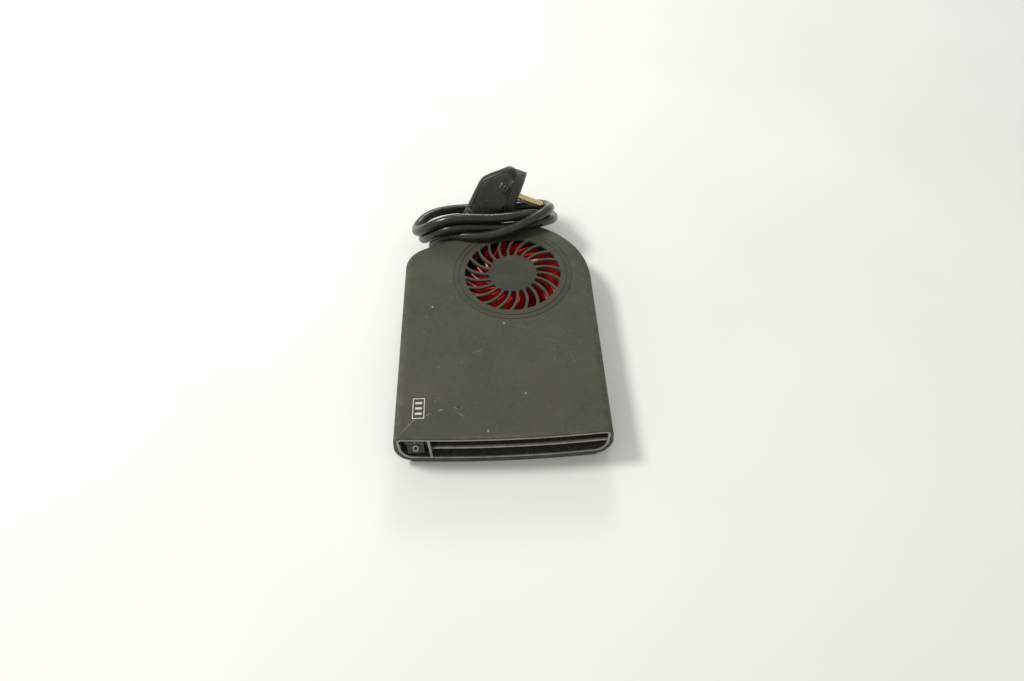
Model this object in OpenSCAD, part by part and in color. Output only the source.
// Flat ceramic fan heater on a slide-on bracket, with its mains lead coiled over the back.
// The origin is the middle of the body's footprint, on the surface that the bracket rests on.
// X runs to the right of someone facing the outlet, Y from the outlet to the back, Z up.

/* [Body] */
// Width of the body
body_w = 132; // [126:1:140]
// Overall length of the body, front bow included
body_l = 182.5; // [176:0.5:190]
// Height of the two covers together
body_h = 27.6; // [26.6:0.2:30]
// How far the front face bows out
front_bow = 2.5; // [1:0.5:4]
// Radius of the big arc at the back
rear_r = 55.6; // [53:0.2:58]
// Radius of the small corner at the back
corner_r = 19.2; // [16:0.2:22]
// Height of the parting line above the resting surface
parting_z = 17.5; // [16.5:0.5:18.5]
// Radius of the upper edge
top_round = 5.5; // [4:0.5:7]
// Width of the curved lower flank
flank_w = 8.6; // [6:0.2:10]
// Wall thickness of the covers
wall = 2.0; // [1.6:0.2:2.2]

/* [Intake] */
// Place of the fan axis from left to right
fan_x = 10.5; // [6:0.5:14]
// Place of the fan axis from front to back
fan_y = 37.8; // [34:0.2:40]
// Radius of the plain disc in the intake
disc_r = 16.8; // [14:0.2:19]
// Outer radius of the intake slots
intake_r = 33.4; // [30:0.2:35]
// Number of intake slots
slot_count = 22; // [18:1:26]
// Width of the ribs between the slots
rib_w = 1.7; // [1.2:0.1:2.2]
// Radius of the slots' corners
slot_corner = 0.7; // [0.5:0.1:0.9]

/* [Outlet] */
// Gap between the covers and the outlet frame
frame_gap = 0.35; // [0.3:0.05:0.5]
// Thickness of the frame's rim
rim_t = 1.4; // [1:0.1:1.8]
// How far the frame is set back behind the covers' front edge
frame_set = 0.2; // [0.2:0.1:0.8]
// Depth of the frame
frame_d = 10; // [9:0.5:10.5]
// Middle of the divider beside the switch
divider_x = -44.3; // [-46:0.1:-43]
// Middle height of the outlet vane
vane_z = 16.8; // [15:0.2:19]

/* [Fan] */
// Radius of the impeller
impeller_r = 37; // [34:0.5:38]
// Number of impeller blades
blade_count = 19; // [13:1:23]
// Radius of the motor shaft
shaft_r = 1.0; // [1:0.25:1.5]

/* [Bracket] */
// Width of the mounting bracket
bracket_w = 115; // [110:1:118]
// Thickness of the mounting bracket
bracket_t = 3.1; // [2.6:0.1:3.2]
// Hole-to-hole distance across
hole_dx = 80; // [60:5:85]
// Hole-to-hole distance along
hole_dy = 90; // [70:5:95]
// Radius of the screw holes
hole_r = 2.2; // [1.7:0.1:2.4]

/* [Cord] */
// Diameter of the mains lead
cord_d = 7; // [6:0.5:7]
// Thickness of the coil's bundle of turns
bundle_d = 13.6; // [13:0.2:13.8]

/* [Hidden] */
// Inner radii of the two ring lines round the intake
ring_r = [37.2, 40.9];
// The vane: its thickness, and how far it stands back in the frame
vane_t = 1.7;
vane_back = 1.3;

$fn = 64;
gap = 0.3;
body_z = bracket_t + gap;
top_z = body_z + body_h;
front_y = -body_l / 2;
rear_cx = body_w / 2 - rear_r;
rear_cy = body_l / 2 - rear_r;
corner_cx = corner_r - body_w / 2;
corner_cy = 49.4;
// The front bow is an arc over the whole width
bow_r = (pow(body_w / 2, 2) + front_bow * front_bow) / (2 * front_bow);
bow_cy = front_y + bow_r;
// Direction square to the slanting wall that joins the corner and the big arc
centre_d = norm([rear_cx - corner_cx, rear_cy - corner_cy]);
slant_a = atan2(rear_cy - corner_cy, rear_cx - corner_cx) + acos((corner_r - rear_r) / centre_d);
slant_n = [cos(slant_a), sin(slant_a)];
floor_z = body_z + wall;
ceiling_z = top_z - wall;
lean = 0.8;
shadow_gap = 0.3;
// The straight sides of the inner outlines lie this far inside their arcs
tuck = 0.01;

// Screw bosses, and the pockets for the bracket's feet
boss_at = [[-57, -55], [56.4, -61.5], [-56, 52], [57.8, -14], [49.4, 65.1], [-20.4, 75]];
foot_x = 53.5;
foot_y = [-46, 14];
foot_l = 12;
foot_travel = 13;

// Rocker: its axis and the middle of the switch
switch_x = -53.2;
switch_z = 17.1;
switch_y = front_y + 6.4;
rocker_y = switch_y + 3.2;
rocker_tilt = -11;

// Heater element
ptc_y = -66;
ptc_d = 14;
ptc_x0 = -41.5;
ptc_x1 = 48.5;
fin_h = 5;
bar_t = 0.5;
stone_t = 2.1;
ptc_z0 = floor_z + 1.1;
row_h = fin_h + 2 * bar_t + stone_t;

// Scroll round the impeller: inner radius at its tongue, and how much it grows
scroll_r = 38.9;
scroll_grow = 4.6;

// Motor heights
base_z = floor_z;
plate_z = 8.2;
blade_z = 25.2;

// Control board and its screws
board_z = 9.6;
board_screw_x = -48.4;
board_screw_y = [-22, 8];

// Cord entry, in the slanting wall
entry_x = -36;
entry_along = (entry_x - corner_cx - corner_r * slant_n[0]) / slant_n[1];
entry_y = corner_cy + corner_r * slant_n[1] - entry_along * slant_n[0];
entry_z = 14;
boot_l = 21;
clamp_x = 7.2;
clamp_y = -11;
boot_end = [entry_x + boot_l * slant_n[0], entry_y + boot_l * slant_n[1], entry_z];

// The coil's ring: centre, half sizes and heights at its front, its ends and its back
coil_c = [-6, 98.6];
coil_a = 48;
coil_front = 24.5;
coil_rear = 31;
coil_turn = 8.6;
coil_z = [top_z + bundle_d / 2, 22.5, bundle_d / 2 + 0.4];

// Diameter of the inner leads
lead_d = 1.8;

// The lead from the boot to the coil, and from the coil to the plug
lead_points = [boot_end, [-46, 98.5, 11.6], [-45, 103, 9]];
tail_points = [[-52.4, 84.3, 17.4], [-48, 80.8, 9], [-41, 81, 4.6], [-33, 85, 5.5], [-26, 89.3, 12.5]];

// Plug: the middle of its face, where its pins point, and where its top points
plug_at = [17.9, 108, 38.9];
plug_pins_dir = [0.925, -0.284, -0.252];
plug_top_dir = [0.396, 0.594, 0.700];
plug_r = 18.4;
neck_a = 30.5;
neck_l = 22.5;

function unit(v) = v / norm(v);

// Points of an arc about c, from angle a0 to a1
function arc(c, rx, ry, a0, a1, n) =
    [for (i = [0:n]) let (a = a0 + (a1 - a0) * i / n) [c[0] + rx * cos(a), c[1] + ry * sin(a)]];

// A smooth curve through p, with n steps from each point to the next
function at_end(p, i) = p[max(0, min(len(p) - 1, i))];
function blend4(a, b, c, d, t) = 0.5 * (2 * b + (c - a) * t + (2 * a - 5 * b + 4 * c - d) * t * t
    + (3 * b - a - 3 * c + d) * t * t * t);
function smooth(p, n) = concat(
    [for (i = [0:len(p) - 2]) for (k = [0:n - 1])
        blend4(at_end(p, i - 1), p[i], p[i + 1], at_end(p, i + 2), k / n)],
    [p[len(p) - 1]]);

// A ring of the tube at point i of line p, square to the line there
function heading(p, i) = unit(at_end(p, i + 1) - at_end(p, i - 1));
function ring(p, i, r, sides) =
    let (h = heading(p, i), s = unit(cross(h, abs(h[2]) > 0.9 ? [1, 0, 0] : [0, 0, 1])), u = cross(s, h))
    [for (k = [0:sides - 1]) p[i] + r * (cos(360 * k / sides) * s + sin(360 * k / sides) * u)];

module tube(p, d, sides, closed = false) {
    n = len(p);
    around = closed ? concat([p[n - 1]], p, [p[0]]) : p;
    points = [for (i = [0:n - 1]) each ring(around, closed ? i + 1 : i, d / 2, sides)];
    last = closed ? n - 1 : n - 2;
    sides_f = [for (i = [0:last]) for (k = [0:sides - 1])
        let (j = (i + 1) % n, m = (k + 1) % sides)
        [i * sides + k, i * sides + m, j * sides + m, j * sides + k]];
    caps = closed ? [] : [[for (k = [sides - 1:-1:0]) k], [for (k = [0:sides - 1]) (n - 1) * sides + k]];
    polyhedron(points, concat(sides_f, caps), convexity = 6);
}

// Outline of the body seen from above, moved inwards by d
module plan(d) {
    intersection() {
        union() {
            translate([rear_cx, rear_cy]) circle(rear_r - d, $fn = 180);
            translate([corner_cx, corner_cy]) circle(corner_r - d, $fn = 96);
            polygon([
                [tuck + d - body_w / 2, -body_l],
                [tuck + d - body_w / 2, corner_cy],
                [corner_cx, corner_cy] + (corner_r - d - tuck) * slant_n,
                [rear_cx, rear_cy] + (rear_r - d - tuck) * slant_n,
                [body_w / 2 - d - tuck, rear_cy],
                [body_w / 2 - d - tuck, -body_l]
            ]);
        }
        translate([0, bow_cy]) circle(bow_r - d, $fn = 720);
    }
}

// Everything behind the front bow, moved inwards by d
module behind_bow(d) {
    translate([0, bow_cy, -1]) cylinder(r = bow_r - d, h = 60, $fn = 720);
}

// Edge of the upper cover and of the lower cover, for a half width r
function top_edge(r) = concat(
    [[0, parting_z], [r, parting_z]],
    arc([r - lean - top_round, top_z - top_round], top_round, top_round, 0, 90, 8),
    [[0, top_z]]);
function bottom_edge(r) = concat(
    [[0, body_z]],
    arc([r - flank_w, parting_z - shadow_gap], flank_w, parting_z - shadow_gap - body_z, -90, 0, 10),
    [[0, parting_z - shadow_gap]]);

module edge_hull(points_rear, points_corner, points_side) {
    intersection() {
        hull() {
            translate([rear_cx, rear_cy]) rotate_extrude($fn = 120) polygon(points_rear);
            translate([corner_cx, corner_cy]) rotate_extrude($fn = 72) polygon(points_corner);
            for (s = [0, 1]) mirror([s, 0, 0])
                translate([0, front_y - 3, 0]) rotate([90, 0, 0]) linear_extrude(1) polygon(points_side);
        }
        behind_bow(0);
    }
}

// Section of the outlet opening seen from the front, moved inwards by d from the body's sides
module front_section(d) {
    half = body_w / 2 - d;
    low = body_z + d;
    high = top_z - d;
    round_x = top_round - 0.3 * d;
    round_z = top_round - d;
    polygon(concat(
        arc([half - flank_w + d / 2, parting_z], flank_w - d / 2, parting_z - low, -90, 0, 10),
        arc([half - round_x, high - round_z], round_x, round_z, 0, 90, 8),
        arc([round_x - half, high - round_z], round_x, round_z, 90, 180, 8),
        arc([flank_w - d / 2 - half, parting_z], flank_w - d / 2, parting_z - low, 180, 270, 10)));
}

// A slab of the front section from depth a to depth b behind the front bow
module front_slab(d, a, b) {
    difference() {
        intersection() {
            rotate([90, 0, 0]) linear_extrude(120) front_section(d);
            behind_bow(a);
        }
        behind_bow(b);
    }
}

module at_bosses() {
    for (p = boss_at) translate([p[0], p[1], 0]) children();
}

module at_feet() {
    for (x = [-foot_x, foot_x]) for (y = foot_y) translate([x, y, 0]) children();
}

// One slot of the intake: from rib to rib, with the ribs as arcs
module intake_rib() {
    bend = 20.3;
    intersection() {
        translate([disc_r, -bend]) difference() {
            circle(bend + rib_w / 2, $fn = 96);
            circle(bend - rib_w / 2, $fn = 96);
        }
        translate([disc_r - 2, -12]) square([24, 16]);
    }
}

module intake_slots() {
    offset(r = slot_corner, $fn = 24) offset(delta = -slot_corner) difference() {
        circle(intake_r, $fn = 128);
        circle(disc_r, $fn = 96);
        for (i = [0:slot_count - 1]) rotate(360 * i / slot_count) intake_rib();
    }
}

module top_cover() color([0.31, 0.31, 0.26]) difference() {
    union() {
        difference() {
            edge_hull(top_edge(rear_r), top_edge(corner_r), top_edge(body_w / 2));
            translate([0, 0, parting_z - 1]) linear_extrude(9) plan(wall + 0.4);
            translate([0, 0, parting_z + 7]) linear_extrude(2.4) plan(wall + 1.2);
            translate([0, 0, parting_z + 9]) linear_extrude(ceiling_z - parting_z - 9) plan(wall + 3.2);
            front_slab(wall, -2, 12);
        }
        // Screw bosses, kept inside the rounded upper edge
        intersection() {
            at_bosses() translate([0, 0, parting_z]) cylinder(r = 3.2, h = ceiling_z - parting_z + 0.5);
            union() {
                translate([0, 0, parting_z]) linear_extrude(8.5) plan(wall / 2 + lean);
                translate([0, 0, parting_z]) linear_extrude(body_h) plan(top_round);
            }
        }
        // Ring that keeps the incoming air over the impeller's eye
        translate([fan_x, fan_y, ceiling_z - 1.6]) difference() {
            cylinder(r = 36.4, h = 2.1);
            translate([0, 0, -1]) cylinder(r = 34.9, h = 5);
        }
    }
    at_bosses() translate([0, 0, parting_z - 1]) cylinder(r = 1.5, h = 9.5, $fn = 32);
    cord_hole();
    translate([fan_x, fan_y, ceiling_z - 1]) linear_extrude(wall + 2) intake_slots();
    // Moulded ring lines round the intake
    for (r = ring_r) translate([fan_x, fan_y, top_z - 0.4]) difference() {
        cylinder(r = r + 0.6, h = 1, $fn = 128);
        translate([0, 0, -1]) cylinder(r = r, h = 3, $fn = 128);
    }
    // Recess of the label
    translate([-54.6, -77.1, top_z - 0.3]) cube([8.4, 15.4, 1]);
}

module front_label() color([0.85, 0.85, 0.82])
    translate([-54.5, -77, top_z - 0.3]) cube([8.2, 15.2, 0.3]);

// Round opening for the cord's grommet, half in each cover
module cord_hole() {
    clamp_frame() translate([0, 12, entry_z]) rotate([90, 0, 0]) cylinder(r = 4.6, h = 24);
}

module foot_slot() {
    translate([-2.2, -gap, body_z - 1]) cube([4.4, foot_l + 2 * gap, 4]);
    translate([-4.1, foot_l, body_z - 1]) cube([8.2, foot_travel + 2 * gap, 4]);
    translate([-4.1, -gap, body_z + 1.6]) cube([8.2, foot_l + foot_travel + 3 * gap, 2.2]);
}

module bottom_cover() color([0.27, 0.27, 0.23]) difference() {
    union() {
        difference() {
            edge_hull(bottom_edge(rear_r), bottom_edge(corner_r), bottom_edge(body_w / 2));
            translate([0, 0, floor_z]) linear_extrude(20) plan(wall + 4.6);
            translate([0, 0, floor_z + 2]) linear_extrude(20) plan(wall + 2.7);
            translate([0, 0, floor_z + 4.6]) linear_extrude(20) plan(wall + 1.4);
            translate([0, 0, floor_z + 7.6]) linear_extrude(20) plan(wall + 0.5);
            front_slab(wall, -2, 12);
        }
        intersection() {
            at_bosses() translate([0, 0, floor_z - 0.5]) cylinder(r = 3.7, h = parting_z - floor_z + 0.2);
            translate([0, 0, body_z]) linear_extrude(30) plan(wall / 2);
        }
        // Closed pockets over the bracket's feet
        at_feet() translate([-5.4, -1.6, floor_z - 0.5]) cube([10.8, foot_l + foot_travel + 3.8, 3.5]);
        // Seat of the motor, and the posts of the cord clamp
        translate([fan_x, fan_y, floor_z - 0.5]) difference() {
            cylinder(r = 17.2, h = 1.6);
            cylinder(r = 15.4, h = 3);
        }
        clamp_frame() for (s = [-1, 1])
            translate([clamp_x * s, clamp_y, floor_z - 0.5]) cylinder(r = 2.6, h = 5.2);
        // Posts of the control board
        for (y = board_screw_y)
            translate([board_screw_x, y, floor_z - 0.5]) cylinder(r = 2.3, h = board_z - floor_z + 0.5);
    }
    at_bosses() {
        cylinder(r = 2.9, h = 7);
        cylinder(r = 1.7, h = 30, $fn = 32);
    }
    at_feet() foot_slot();
    clamp_frame() for (s = [-1, 1])
        translate([clamp_x * s, clamp_y, floor_z + 0.6]) cylinder(r = 1.1, h = 8, $fn = 32);
    for (y = board_screw_y) translate([board_screw_x, y, floor_z]) cylinder(r = 1.1, h = 8, $fn = 32);
    // Pilot holes of the motor, and the way of its lead through the seat
    translate([fan_x, fan_y, 0]) {
        for (a = [30, 150, 270]) rotate(a)
            translate([12.6, 0, floor_z - 1.3]) cylinder(r = 1.1, h = 4, $fn = 32);
        rotate(225) translate([10, -1.3, floor_z]) cube([9, 2.6, 4]);
    }
    cord_hole();
}

module frame_pad(x, z0, z1) {
    intersection() {
        translate([x - 3, front_y - 1, z0]) cube([6, 9, z1 - z0]);
        behind_bow(frame_set + 1);
    }
}

module outlet_frame() color([0.55, 0.55, 0.51]) {
    outer = wall + frame_gap;
    difference() {
        front_slab(outer, frame_set, frame_set + frame_d);
        front_slab(outer + rim_t, frame_set - 1, frame_set + frame_d + 1);
    }
    // Divider between the switch and the outlet
    intersection() {
        front_slab(outer + rim_t / 2, frame_set, frame_set + frame_d);
        translate([divider_x - 0.7, front_y - 1, 0]) cube([1.4, 20, 40]);
    }
    // Vane with its wedge-shaped left end
    intersection() {
        front_slab(outer + rim_t / 2, frame_set + vane_back, frame_set + frame_d - 1);
        rotate([90, 0, 0]) linear_extrude(120)
            polygon([[divider_x, vane_z - vane_t / 2], [70, vane_z - vane_t / 2],
                [70, vane_z + vane_t / 2], [divider_x + 5, vane_z + vane_t / 2]]);
    }
    // Pads that hold the frame between the two covers
    for (x = [-30, 30]) frame_pad(x, top_z - outer - 0.3, top_z - wall);
    for (x = [-30, 30]) frame_pad(x, body_z + wall, body_z + outer + 0.3);
}

// Wall of the air duct as a polyline thickened to t on its outer side
function wall_points(t) =
    let (
        turn = [for (a = [205:-9:-20]) let (r = scroll_r + scroll_grow * (205 - a) / 225)
            [fan_x + r * cos(a), fan_y + r * sin(a)]],
        turn_out = [for (a = [-20:9:205]) let (r = scroll_r + t + scroll_grow * (205 - a) / 225)
            [fan_x + r * cos(a), fan_y + r * sin(a)]]
    )
    concat(turn, [[49.8, -40], [49.8, -66.5], [58.3, -78.8]],
        [[60, -78.8], [51.3, -66.5], [51.3, -40]], turn_out);

module air_duct() color([0.16, 0.16, 0.15]) difference() {
    tongue = [fan_x + scroll_r * cos(205), fan_y + scroll_r * sin(205)];
    intersection() {
        translate([0, 0, floor_z + 0.1]) linear_extrude(ceiling_z - floor_z - 0.3) {
            polygon(wall_points(1.5));
            // Left wall, from the tongue beside the impeller to the divider
            polygon([tongue, [-43.3, -20], [-43.3, -79.6], [-44.8, -79.6], [-44.8, -19.5],
                [tongue[0] - 1.4, tongue[1] + 0.8]]);
        }
        union() {
            rotate([90, 0, 0]) linear_extrude(120) front_section(wall + 0.15);
            translate([-80, -1, 0]) cube([160, 120, 60]);
        }
    }
    // Notches over the feet's pockets, for the heater's tabs and for the motor's lead
    at_feet() translate([-5.6, -1.9, 0]) cube([11.2, foot_l + foot_travel + 4.4, floor_z + 3.3]);
    translate([-46, ptc_y + 3, ptc_z0 + fin_h - 0.3]) cube([4, 8, row_h + 3.7]);
    translate([-36, 3.5, 0]) cube([8, 5.5, floor_z + 2.3]);
}

module casing_screws() color([0.72, 0.72, 0.7]) at_bosses() {
    translate([0, 0, 5.2]) difference() {
        cylinder(r = 2.6, h = 1.8);
        translate([0, 0, -0.1]) for (a = [0, 90]) rotate(a) translate([-1.5, -0.35, 0]) cube([3, 0.7, 1.1]);
    }
    translate([0, 0, 6.9]) cylinder(r = 1.5, h = 17.5, $fn = 32);
}

module switch_carrier() color([0.1, 0.1, 0.1]) difference() {
    intersection() {
        front_slab(wall + frame_gap + 0.2, frame_set + frame_d + 0.1, frame_set + frame_d + 1.7);
        translate([-70, front_y - 1, 0]) cube([-45.2 + 70, 30, 40]);
    }
    translate([switch_x - 6.2, front_y - 5, switch_z - 8.9]) cube([12.4, 40, 17.8]);
}

// Box centred on the switch from depth a to b
module switch_box(w, h, a, b) {
    translate([switch_x - w / 2, switch_y + a, switch_z - h / 2]) cube([w, b - a, h]);
}

module switch_housing() color([0.09, 0.09, 0.09]) difference() {
    // Bezel and body, trimmed to the curved corner of the outlet frame
    intersection() {
        union() {
            switch_box(15, 20.4, 0, 1.6);
            switch_box(12.2, 17.6, 1.5, 18);
        }
        rotate([90, 0, 0]) linear_extrude(120) front_section(wall + frame_gap + rim_t + 0.15);
    }
    switch_box(10.9, 16.8, -1, 9.5);
    translate([switch_x - 7, rocker_y, switch_z]) rotate([0, 90, 0]) cylinder(r = 1.06, h = 14, $fn = 32);
}

// Rocker with two faces that meet at a shallow angle, tipped to its upper end
module switch_rocker() color([0.13, 0.13, 0.13])
    translate([switch_x, rocker_y, switch_z]) rotate([rocker_tilt, 0, 0]) difference() {
        union() {
            translate([-5.1, 0, 0]) rotate([90, 0, 90]) linear_extrude(10.2)
                polygon([[-6.1, -6.9], [-5.0, -7.35], [3.0, -6.0], [3.6, 0],
                    [3.0, 6.0], [-5.0, 7.35], [-6.1, 6.9], [-4.6, 0]]);
            rotate([0, 90, 0]) translate([0, 0, -5.9]) cylinder(r = 1, h = 11.8, $fn = 32);
        }
        // Fine grip grooves on the upper face
        for (k = [-3:3]) translate([k * 1.3 - 0.2, -8.5, 0.8]) rotate([12.3, 0, 0])
            translate([0, 0.35, 0]) cube([0.4, 3.8, 5.6]);
    }

module switch_terminals() color([0.85, 0.7, 0.35]) {
    for (z = [-5, 0, 5])
        translate([switch_x - 3.2, switch_y + 18, switch_z + z - 0.4]) cube([6.3, 6.5, 0.8]);
}

function blade_line(r0, r1, a0, sweep, n) = [for (i = [0:n]) let (t = i / n, r = r0 + (r1 - r0) * t)
    [r * cos(a0 + sweep * pow(t, 1.3)), r * sin(a0 + sweep * pow(t, 1.3))]];

module blade_plan() {
    front = blade_line(15.2, impeller_r - 0.4, 0, -38, 12);
    back = blade_line(15.2, impeller_r - 0.4, 3.4, -39.4, 12);
    polygon(concat(front, [for (i = [len(back) - 1:-1:0]) back[i]]));
}

module impeller() color([0.75, 0.09, 0.06]) translate([fan_x, fan_y, 0]) {
    difference() {
        union() {
            translate([0, 0, plate_z]) cylinder(r = impeller_r, h = 1.1, $fn = 128);
            translate([0, 0, plate_z]) cylinder(r = 16.4, h = 10.6);
        }
        translate([0, 0, plate_z - 1]) cylinder(r = 14.5, h = 10.1);
        cylinder(r = shaft_r + 1.5, h = 40, $fn = 48);
    }
    translate([0, 0, plate_z + 1]) linear_extrude(blade_z - plate_z - 1)
        for (i = [0:blade_count - 1]) rotate(360 * i / blade_count) blade_plan();
}

module rotor_cup() color([0.62, 0.63, 0.64]) translate([fan_x, fan_y, 0]) difference() {
    union() {
        translate([0, 0, 8.4]) cylinder(r = 14.5, h = 8.9);
        translate([0, 0, 17.2]) cylinder(r = shaft_r + 1.5, h = 1.7, $fn = 48);
    }
    translate([0, 0, 8]) cylinder(r = 13.7, h = 8.4);
    translate([0, 0, 8]) cylinder(r = shaft_r, h = 12, $fn = 32);
}

module rotor_magnet() color([0.2, 0.2, 0.2]) translate([fan_x, fan_y, 9.2]) difference() {
    cylinder(r = 13.7, h = 7);
    translate([0, 0, -1]) cylinder(r = 12.1, h = 9);
}

module motor_shaft() color([0.78, 0.78, 0.78])
    translate([fan_x, fan_y, 6.5]) difference() {
        cylinder(r = shaft_r, h = 12.4, $fn = 32);
        translate([0, 0, 0.3]) difference() {
            cylinder(r = shaft_r + 1, h = 0.5);
            translate([0, 0, -1]) cylinder(r = shaft_r - 0.3, h = 3, $fn = 32);
        }
    }

module shaft_clip() color([0.7, 0.7, 0.7]) translate([fan_x, fan_y, 6.85]) difference() {
    cylinder(r = shaft_r + 1, h = 0.4, $fn = 48);
    translate([0, 0, -1]) cylinder(r = shaft_r - 0.3, h = 3, $fn = 32);
    translate([0, -0.5, -1]) cube([4, 1, 3]);
}

module motor_base() color([0.2, 0.2, 0.22]) translate([fan_x, fan_y, base_z]) difference() {
    union() {
        cylinder(r = 15, h = 1.2);
        cylinder(r = 4.2, h = 9.6);
    }
    translate([0, 0, 0.7]) cylinder(r = 3.2, h = 12);
    for (a = [30, 150, 270]) rotate(a) translate([12.6, 0, -1]) cylinder(r = 1.15, h = 4, $fn = 32);
    rotate(225) translate([8.5, -1.3, -1]) cube([9, 2.6, 4]);
}

module motor_bearings() color([0.8, 0.65, 0.3]) translate([fan_x, fan_y, 0])
    for (z = [7.6, 12]) translate([0, 0, z]) difference() {
        cylinder(r = 3.2, h = 2.8);
        translate([0, 0, -1]) cylinder(r = shaft_r + 0.03, h = 6, $fn = 32);
    }

module stator_core() color([0.5, 0.5, 0.52]) translate([fan_x, fan_y, 10.2]) difference() {
    union() {
        cylinder(r = 5.8, h = 4);
        for (i = [0:5]) rotate(60 * i) {
            translate([5, -0.9, 0]) cube([4.6, 1.8, 4]);
            intersection() {
                difference() {
                    cylinder(r = 11.6, h = 4);
                    translate([0, 0, -1]) cylinder(r = 9.4, h = 6);
                }
                translate([6, -4.4, -1]) cube([8, 8.8, 6]);
            }
        }
    }
    translate([0, 0, -1]) cylinder(r = 4.2, h = 8);
}

module stator_coils() color([0.72, 0.38, 0.2]) translate([fan_x, fan_y, 10.2])
    for (i = [0:5]) rotate(60 * i) difference() {
        translate([6.3, -2.3, -0.9]) cube([2.8, 4.6, 5.8]);
        translate([5, -0.9, 0]) cube([6, 1.8, 4]);
    }

module motor_board() color([0.1, 0.35, 0.2]) translate([fan_x, fan_y, 7.4]) difference() {
    cylinder(r = 11.4, h = 0.8);
    translate([0, 0, -1]) cylinder(r = 4.2, h = 3);
}

module motor_screws() color([0.72, 0.72, 0.7]) translate([fan_x, fan_y, 0])
    for (a = [30, 150, 270]) rotate(a) translate([12.6, 0, 0]) {
        translate([0, 0, base_z + 1.2]) cylinder(r = 1.9, h = 0.7);
        translate([0, 0, base_z - 1.2]) cylinder(r = 1.1, h = 2.5, $fn = 32);
    }

// Heater element: a frame round three corrugated fins and two rows of ceramic stones
module ptc_holder() color([0.13, 0.12, 0.11]) translate([0, ptc_y, 0]) difference() {
    translate([ptc_x0 - 1.6, 0, ptc_z0 - 1])
        cube([ptc_x1 - ptc_x0 + 2.9, ptc_d, 3 * fin_h + 2 * (row_h - fin_h) + 2]);
    translate([ptc_x0, -1, ptc_z0]) cube([ptc_x1 - ptc_x0, ptc_d + 2, 3 * fin_h + 2 * (row_h - fin_h)]);
    for (i = [0, 1])
        translate([ptc_x0 - 3, 3, ptc_z0 + fin_h + i * row_h - 0.2]) cube([4, 8, row_h - fin_h + 0.4]);
}

module ptc_stones() color([0.28, 0.27, 0.26])
    for (i = [0, 1]) for (k = [0:3])
        translate([ptc_x0 + 1 + k * 22.2, ptc_y + 1, ptc_z0 + fin_h + bar_t + i * row_h])
            cube([21.4, 12, stone_t]);

module ptc_electrodes() color([0.75, 0.76, 0.77])
    for (i = [0, 1]) for (s = [0, 1])
        translate([ptc_x0 + 0.2, ptc_y, ptc_z0 + fin_h + i * row_h + s * (bar_t + stone_t)]) {
            cube([ptc_x1 - ptc_x0 - 0.4, ptc_d, bar_t]);
            translate([-7.4, s == 0 ? 3.4 : 7.4, 0]) cube([7.5, 3.2, bar_t]);
        }

// A corrugated ribbon w long and h high, of sheet t thick
module corrugated(w, h, pitch, t) {
    n = floor(w / pitch);
    low = [for (i = [0:2 * n]) [i * pitch / 2, i % 2 == 0 ? 0 : h - t]];
    high = [for (i = [2 * n:-1:0]) [i * pitch / 2, i % 2 == 0 ? t : h]];
    polygon(concat(low, high));
}

module ptc_fins() color([0.8, 0.81, 0.82])
    for (i = [0:2]) translate([ptc_x0 + 0.6, ptc_y + ptc_d - 0.5, ptc_z0 + i * row_h])
        rotate([90, 0, 0]) linear_extrude(ptc_d - 1) corrugated(88, fin_h, 2.75, 0.3);

module heater_gasket() color([0.75, 0.73, 0.68]) {
    z1 = ptc_z0 + 3 * fin_h + 2 * (row_h - fin_h) + 1;
    translate([ptc_x0 - 1, ptc_y + 2, z1]) cube([ptc_x1 - ptc_x0 + 2, 9, ceiling_z - z1]);
}

module thermostat() color([0.7, 0.69, 0.66]) translate([-53.6, -36, floor_z + 3]) {
    difference() {
        translate([-3.2, -5, 0]) cube([6.4, 10, 9.4]);
        translate([-4, -3.4, 6]) cube([8, 6.8, 1.6]);
    }
    translate([0, 0, 9.4]) cylinder(r = 3, h = 1);
}

// Bars that join the tabs of each side of the heater's circuit
module electrode_links() color([0.72, 0.73, 0.74]) for (s = [0, 1])
    translate([-48.5, ptc_y + 3.8 + 4 * s, ptc_z0 + fin_h + bar_t + s * (bar_t + stone_t)])
        cube([0.8, 2.4, row_h - bar_t]);

module thermal_fuse() color([0.85, 0.82, 0.75]) translate([-46.1, -56, 26]) rotate([-90, 0, 0]) {
    cylinder(r = 1.3, h = 9);
    translate([0, 0, -3]) cylinder(r = 0.4, h = 15, $fn = 24);
}

// Board in the left bay with what stands on it
module control_board() color([0.12, 0.36, 0.2]) difference() {
    translate([-61.2, -26, board_z]) cube([15.2, 63, 1.4]);
    for (y = board_screw_y) translate([board_screw_x, y, board_z - 1]) cylinder(r = 1.2, h = 4, $fn = 32);
}

module board_screws() color([0.72, 0.72, 0.7]) for (y = board_screw_y) translate([board_screw_x, y, 0]) {
    translate([0, 0, board_z + 1.4]) cylinder(r = 1.9, h = 1.1);
    translate([0, 0, floor_z]) cylinder(r = 1.1, h = board_z + 1.5 - floor_z, $fn = 32);
}

module rectifier() color([0.1, 0.1, 0.1]) translate([-60, -14, board_z + 1.4]) cube([8.6, 6.6, 3.2]);

module filter_capacitor() color([0.13, 0.17, 0.3])
translate([-54.4, 20, board_z + 6.4]) rotate([90, 0, 0]) {
    cylinder(r = 5, h = 14);
    translate([0, 0, -0.9]) cylinder(r = 4.7, h = 1);
}

module terminal_block() color([0.2, 0.42, 0.3]) translate([-60.6, 26, board_z + 1.4]) difference() {
    cube([13.4, 8, 8.4]);
    for (k = [0:2]) translate([2.4 + 4.3 * k, 4, 3]) cylinder(r = 1.5, h = 8, $fn = 32);
    for (k = [0:2])
        translate([2.4 + 4.3 * k, 9, 2.8]) rotate([90, 0, 0]) cylinder(r = 1.25, h = 4, $fn = 32);
}

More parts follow.
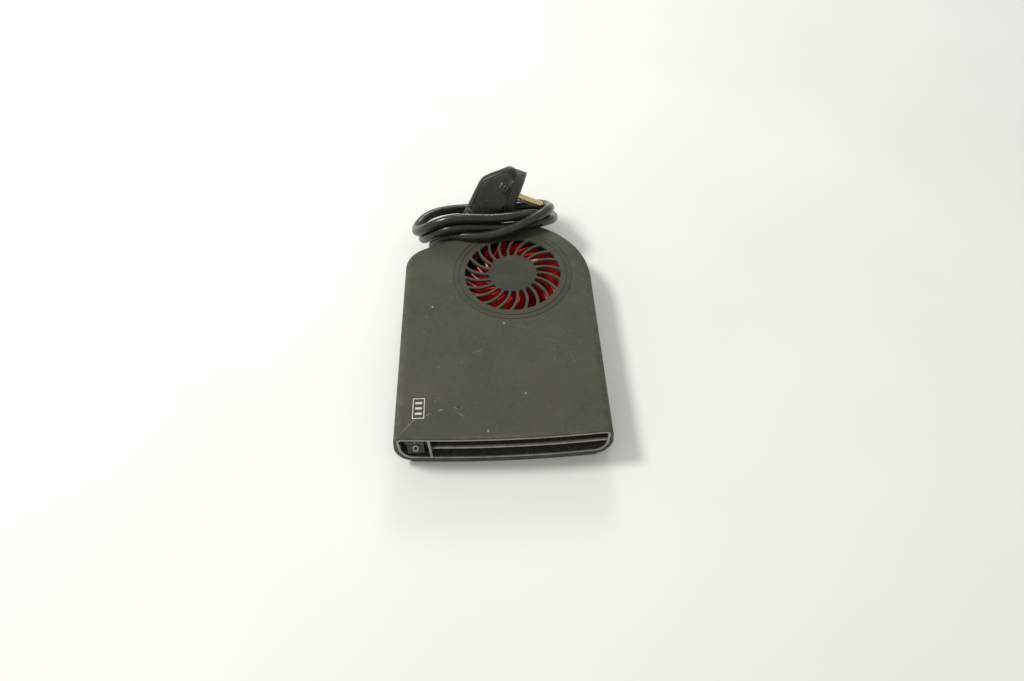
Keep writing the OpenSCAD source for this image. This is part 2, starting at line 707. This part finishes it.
// Inner leads, each a smooth line through a few points
module live_lead() color([0.4, 0.22, 0.1])
    tube(smooth([[-31.2, 61, 14], [-30.2, 58.8, 14], [-34, 53, 16], [-43, 46, 20], [-52, 41, 23],
        [-58.8, 34, 24.2], [-61, 20, 24.3], [-61, -20, 24.3], [-59.5, -38, 23.6], [-54.5, -47, 22.6],
        [-52.6, -54, 22.2], [-53, -60.2, 22.1]], 3), lead_d, 8);
module neutral_lead() color([0.1, 0.25, 0.55])
    tube(smooth([[-28.1, 62.4, 14], [-27.1, 60.2, 14], [-29.5, 56.3, 12.6], [-35, 50, 12.6],
        [-42, 43, 15.5], [-46.4, 36, 21], [-46.9, 16, 23], [-46.8, -20, 22.9], [-47.2, -42, 22.6],
        [-47.6, -55.4, 22.45]], 3), lead_d, 8);
// Two leads: from the switch to the fuse, and from the fuse to the heater
module heater_leads() color([0.6, 0.58, 0.52]) {
    tube(smooth([[-51.4, -60.2, 17.1], [-50.8, -57.6, 18.6], [-49.9, -54, 22.3], [-49.7, -47, 25.4],
        [-48.8, -41.6, 26.1], [-46.9, -40.8, 26.2], [-46.1, -43.7, 26]], 4), lead_d, 8);
    tube(smooth([[-46.1, -59.3, 26], [-46.3, -60.7, 25], [-46.9, -61, 22.8], [-47, -61, 20.1]], 4),
        lead_d, 8);
}
module motor_lead() color([0.6, 0.12, 0.1])
    tube(smooth([[-47.6, 23, 11.9], [-45, 21.8, 12], [-42, 17, 9.8], [-36.5, 9, 6.9], [-31.9, 6.2, 6.4],
        [-20, 9, 6.4], [-8, 19.3, 6.4], [2.8, 30.1, 6.5]], 4), 1.6, 8);

// Mounting bracket: a plate that follows the front bow, with four T-shaped feet
module mounting_bracket() color([0.2, 0.2, 0.18]) {
    difference() {
        intersection() {
            union() {
                translate([-bracket_w / 2, -body_l, 0]) cube([bracket_w, body_l + 44, bracket_t]);
                translate([8 - bracket_w / 2, -body_l, 0]) cube([bracket_w - 16, body_l + 52, bracket_t]);
                for (s = [-1, 1])
                    translate([s * (bracket_w / 2 - 8), 44, 0]) cylinder(r = 8, h = bracket_t);
            }
            behind_bow(0.8);
        }
        for (x = [-hole_dx / 2, hole_dx / 2], y = [-hole_dy / 2, hole_dy / 2]) translate([x, y - 15, 0]) {
            translate([0, 0, -1]) cylinder(r = hole_r, h = 6);
            translate([0, 0, 1.5]) cylinder(r = 4.3, h = 4);
        }
        // Window that saves weight and clears the screws' heads
        translate([-24, -42, -1]) cube([48, 62, 6]);
    }
    at_feet() {
        translate([-1.8, 0, bracket_t - 0.1]) cube([3.6, foot_l, 2.4]);
        translate([-3.7, 0, body_z + 1.9]) cube([7.4, foot_l, 1.5]);
    }
}

// Frame at the cord entry: its Y axis runs out along the slanting wall's normal
module clamp_frame() translate([entry_x, entry_y, 0]) rotate(slant_a - 90) children();

module cord_grommet() color([0.07, 0.07, 0.07])
clamp_frame() translate([0, 0, entry_z]) rotate([-90, 0, 0]) difference() {
    union() {
        translate([0, 0, -7.4]) cylinder(r = 5.6, h = 2.2);
        translate([0, 0, -7.4]) cylinder(r = 4.6, h = 9);
        translate([0, 0, 0.1]) cylinder(r = 6, h = 1.6);
        translate([0, 0, 1.6]) cylinder(r1 = 5.6, r2 = 4.3, h = boot_l - 1.6);
    }
    translate([0, 0, -8]) cylinder(r = cord_d / 2, h = boot_l + 20);
    for (k = [0:3]) translate([0, 0, 5 + 4 * k]) difference() {
        cylinder(r = 7, h = 1.2);
        translate([0, 0, -1]) cylinder(r = 4.1, h = 4);
    }
}

module cord_clamp() color([0.12, 0.12, 0.12]) clamp_frame() difference() {
    translate([-9.6, clamp_y - 3, floor_z + 4.7]) cube([19.2, 6, 9]);
    translate([0, -20, entry_z]) rotate([-90, 0, 0]) cylinder(r = cord_d / 2, h = 30);
    for (s = [-1, 1]) translate([clamp_x * s, clamp_y, 0]) cylinder(r = 1.3, h = 40, $fn = 32);
}

module clamp_screws() color([0.72, 0.72, 0.7])
clamp_frame() for (s = [-1, 1]) translate([clamp_x * s, clamp_y, 0]) {
    translate([0, 0, floor_z + 13.7]) cylinder(r = 2.2, h = 1.3);
    translate([0, 0, floor_z + 1]) cylinder(r = 1.1, h = 13, $fn = 32);
}

// The lead enters through the grommet as far as the clamp
module cord_lead() color([0.05, 0.05, 0.05]) {
    inside = [for (d = [-15, -5, 6, 14]) [entry_x + d * slant_n[0], entry_y + d * slant_n[1], entry_z]];
    tube(smooth(concat(inside, lead_points), 3), cord_d - 0.04, 10);
}

// Ring of the coil: it lies on the body at the front and hangs behind it
function ease(t) = t * t * (3 - 2 * t);
function coil_height(s) = s < 0
    ? coil_z[1] + (coil_z[0] - coil_z[1]) * ease(min(1, -1.3 * s))
    : coil_z[1] + (coil_z[2] - coil_z[1]) * ease(s);
function coil_point(a) =
    let (
        k = pow(pow(abs(cos(a)), 2.4) + pow(abs(sin(a)), 2.4), -1 / 2.4),
        x = coil_a * cos(a) * k,
        y = (sin(a) < 0 ? coil_front : coil_rear) * sin(a) * k
    )
    [coil_c[0] + x * cos(coil_turn) - y * sin(coil_turn),
     coil_c[1] + x * sin(coil_turn) + y * cos(coil_turn),
     coil_height(sin(a))];
module cord_coil() color([0.06, 0.06, 0.06])
    tube([for (i = [0:47]) coil_point(7.5 * i)], bundle_d, 12, closed = true);

// The tail ends inside the plug's neck, square to its bore
function plug_point(x, z) = let (p = unit(plug_pins_dir), y = unit(cross(plug_top_dir, p)))
    plug_at + x * p + z * cross(p, y);
function neck_point(d) = plug_point(-10.6 - d * sin(neck_a), -14.6 - d * cos(neck_a));
module cord_tail() color([0.05, 0.05, 0.05]) {
    inside = [for (d = [1, -3.5, -8]) neck_point(neck_l + d)];
    tube(smooth(concat(tail_points, inside), 4), cord_d - 0.04, 10);
}

// Plug: X along its pins, Z towards its top
module plug_frame() {
    x = unit(plug_pins_dir);
    y = unit(cross(plug_top_dir, x));
    z = cross(x, y);
    multmatrix([for (i = [0:2]) [x[i], y[i], z[i], plug_at[i]]]) children();
}

// Frame of the cord's neck, which leaves the plug downwards and back
module neck() translate([-10.6, 0, -14.6]) rotate([0, 180 + neck_a, 0]) children();

module plug_body() color([0.08, 0.08, 0.08]) plug_frame() difference() {
    union() {
        rotate([0, -90, 0]) cylinder(r = plug_r, h = 7);
        intersection() {
            translate([-6, 0, 0]) rotate([0, -90, 0]) cylinder(r = plug_r - 0.8, h = 28);
            translate([-40, -12.5, -20]) cube([40, 25, 34]);
        }
        neck() cylinder(r1 = 9, r2 = 5.4, h = neck_l);
    }
    translate([1, 0, 0]) rotate([0, -90, 0]) difference() {
        cylinder(r = 14.4, h = 1.6);
        translate([0, 0, -1]) cylinder(r = 11, h = 4);
    }
    for (s = [-1, 1]) translate([-12, s * 18.2, 0]) cube([30, 5, 5], center = true);
    for (s = [-9.5, 9.5]) translate([-7, s, 0]) rotate([0, 90, 0]) cylinder(r = 2.4, h = 12, $fn = 32);
    neck() translate([0, 0, neck_l - 8]) cylinder(r = cord_d / 2, h = 30, $fn = 32);
    for (s = [-1, 1]) translate([-8, -3, s * 18.6 - 1]) cube([9, 6, 2]);
}

module plug_pins() color([0.82, 0.7, 0.4])
plug_frame() for (s = [-9.5, 9.5]) translate([-7, s, 0]) rotate([0, 90, 0]) {
    cylinder(r = 2.4, h = 24.5, $fn = 32);
    translate([0, 0, 24.5]) cylinder(r1 = 2.4, r2 = 1.2, h = 1.5, $fn = 32);
}

module plug_earth_clips() color([0.8, 0.68, 0.4]) plug_frame()
    for (s = [-1, 1]) translate([-8, -2.5, s * 18 - 0.35]) cube([8, 5, 0.7]);

top_cover();
bottom_cover();
front_label();
outlet_frame();
air_duct();
casing_screws();
switch_carrier();
switch_housing();
switch_rocker();
switch_terminals();
impeller();
rotor_cup();
rotor_magnet();
motor_shaft();
shaft_clip();
motor_base();
motor_bearings();
stator_core();
stator_coils();
motor_board();
motor_screws();
ptc_holder();
ptc_stones();
ptc_electrodes();
ptc_fins();
electrode_links();
heater_gasket();
thermostat();
thermal_fuse();
control_board();
rectifier();
filter_capacitor();
terminal_block();
board_screws();
live_lead();
neutral_lead();
heater_leads();
motor_lead();
mounting_bracket();
cord_grommet();
cord_clamp();
clamp_screws();
cord_lead();
cord_coil();
cord_tail();
plug_body();
plug_pins();
plug_earth_clips();
